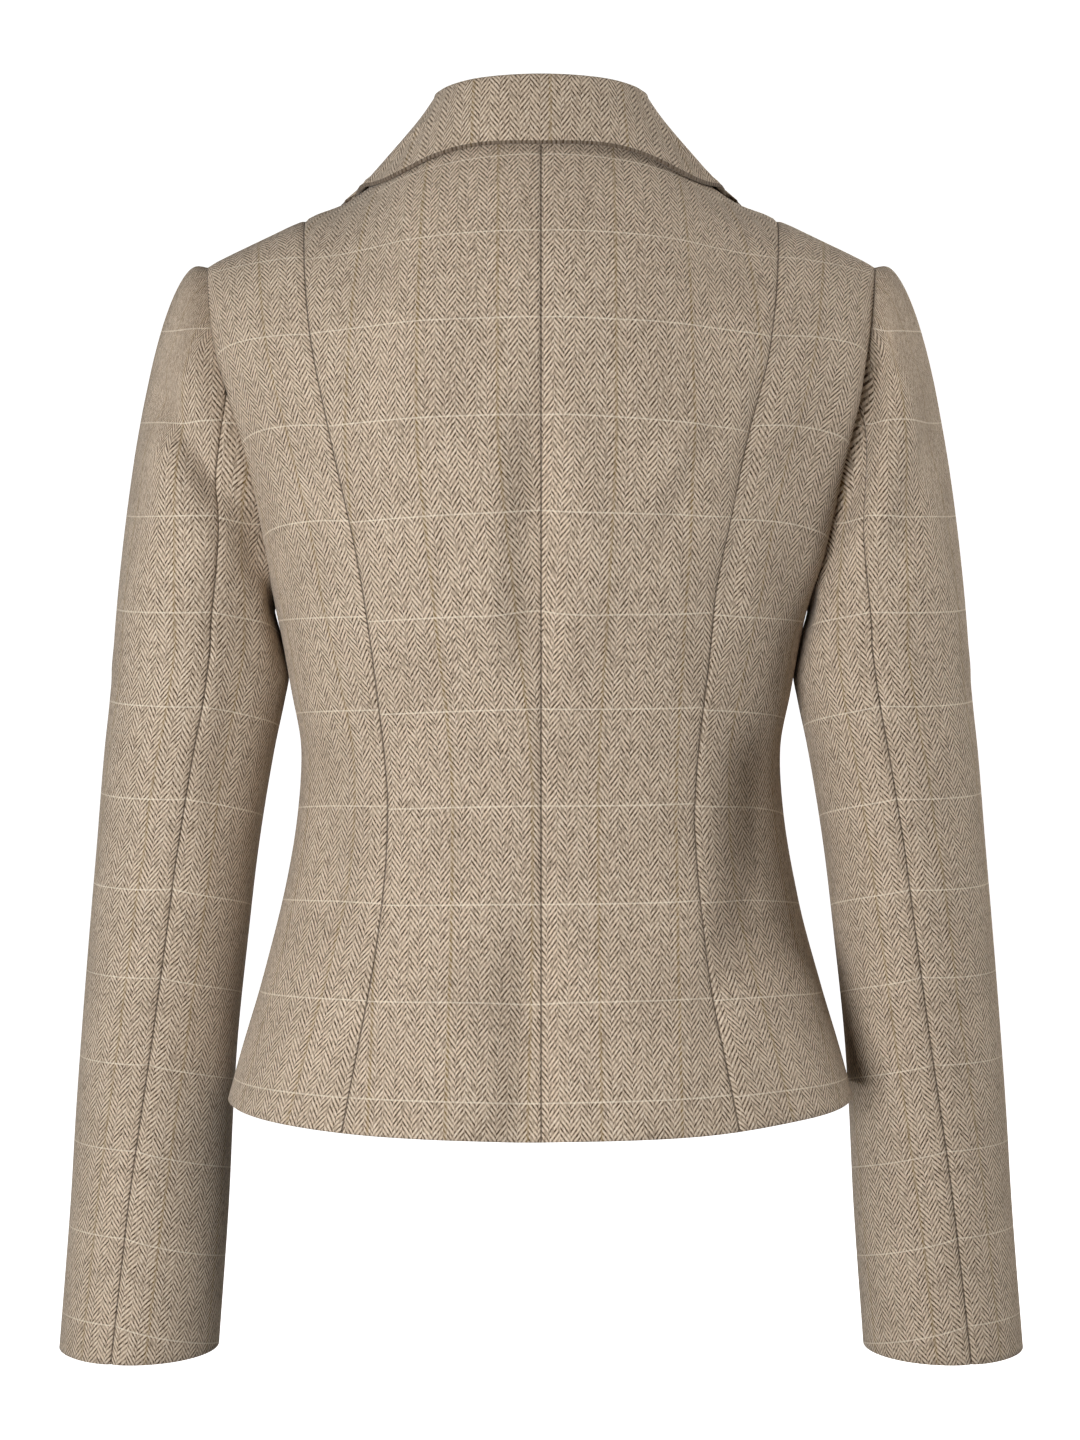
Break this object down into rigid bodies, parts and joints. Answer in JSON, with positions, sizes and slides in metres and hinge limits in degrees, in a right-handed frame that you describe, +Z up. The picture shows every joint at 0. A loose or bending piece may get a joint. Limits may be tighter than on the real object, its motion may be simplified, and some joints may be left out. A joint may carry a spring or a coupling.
{
  "type": "short jacket",
  "caption": "Short fitted jacket with a turned-down collar, lapels, princess seams and seamed sleeves, filled out as if worn, in wool cloth.",
  "frame": {"origin": "on the centre plane inside the neck, level with the middle of the shoulders, where the wearer's shoulders carry the jacket", "axes": "+Z up, +Y towards the wearer's front, +X towards the wearer's right"},
  "size_m": [0.5576, 0.2595, 0.7183],
  "materials": {
    "wool": "matte wool herringbone",
    "button": "satin"
  },
  "bodies": {
    "root": {"back_left": "wool", "back_right": "wool", "button_1": "button", "button_2": "button", "collar": "wool", "front_left": "wool", "front_right": "wool", "lapel_left": "wool", "lapel_right": "wool", "side_back_left": "wool", "side_back_right": "wool", "sleeve_top_left": "wool", "sleeve_top_right": "wool", "sleeve_under_left": "wool", "sleeve_under_right": "wool"}
  },
  "joints": []
}
